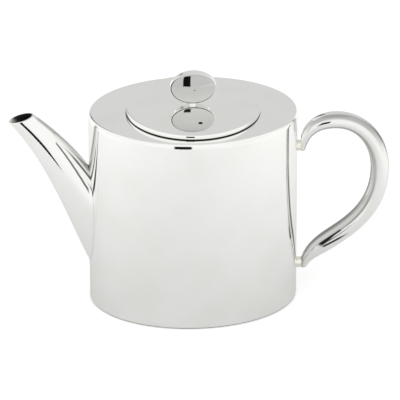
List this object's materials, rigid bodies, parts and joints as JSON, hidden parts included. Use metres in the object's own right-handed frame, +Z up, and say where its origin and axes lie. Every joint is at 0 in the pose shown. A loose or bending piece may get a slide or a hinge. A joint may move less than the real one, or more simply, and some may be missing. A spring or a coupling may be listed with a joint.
{
  "type": "teapot",
  "caption": "Metal teapot with a straight oval body, a flat shoulder, a round lift-off lid with an upright oval finial, a tapering spout and a hollow loop handle on stand-offs.",
  "frame": {"origin": "centre of the flat underside, where the body stands on the table", "axes": "+Z up, -X towards the spout, +X towards the handle, -Y towards the viewer's side"},
  "size_m": [0.2372, 0.0956, 0.1552],
  "materials": {
    "silver_body": "polished silver plate",
    "silver_handle": "polished silver plate",
    "silver_standoff": "polished silver solder",
    "silver_lid": "polished silver plate",
    "brass_fixing": "turned brass"
  },
  "bodies": {
    "body": {"body_wall": "silver_body", "base_plate": "silver_body", "shoulder_plate": "silver_body", "mouth_collar": "silver_body", "spout_shell": "silver_body", "handle_tube": "silver_handle", "handle_upper_end": "silver_handle", "handle_lower_end": "silver_handle", "handle_upper_standoff": "silver_standoff", "handle_lower_standoff": "silver_standoff"},
    "lid": {"lid_disc": "silver_lid", "lid_bezel": "silver_lid", "finial": "silver_lid", "finial_collar": "silver_lid", "finial_stud": "brass_fixing", "finial_washer": "brass_fixing", "finial_nut": "brass_fixing"}
  },
  "joints": [
    {"name": "lid_lift", "type": "slide", "parent": "body", "child": "lid", "axis": [0, 0, 1], "range_m": [0, 0.06]}
  ]
}
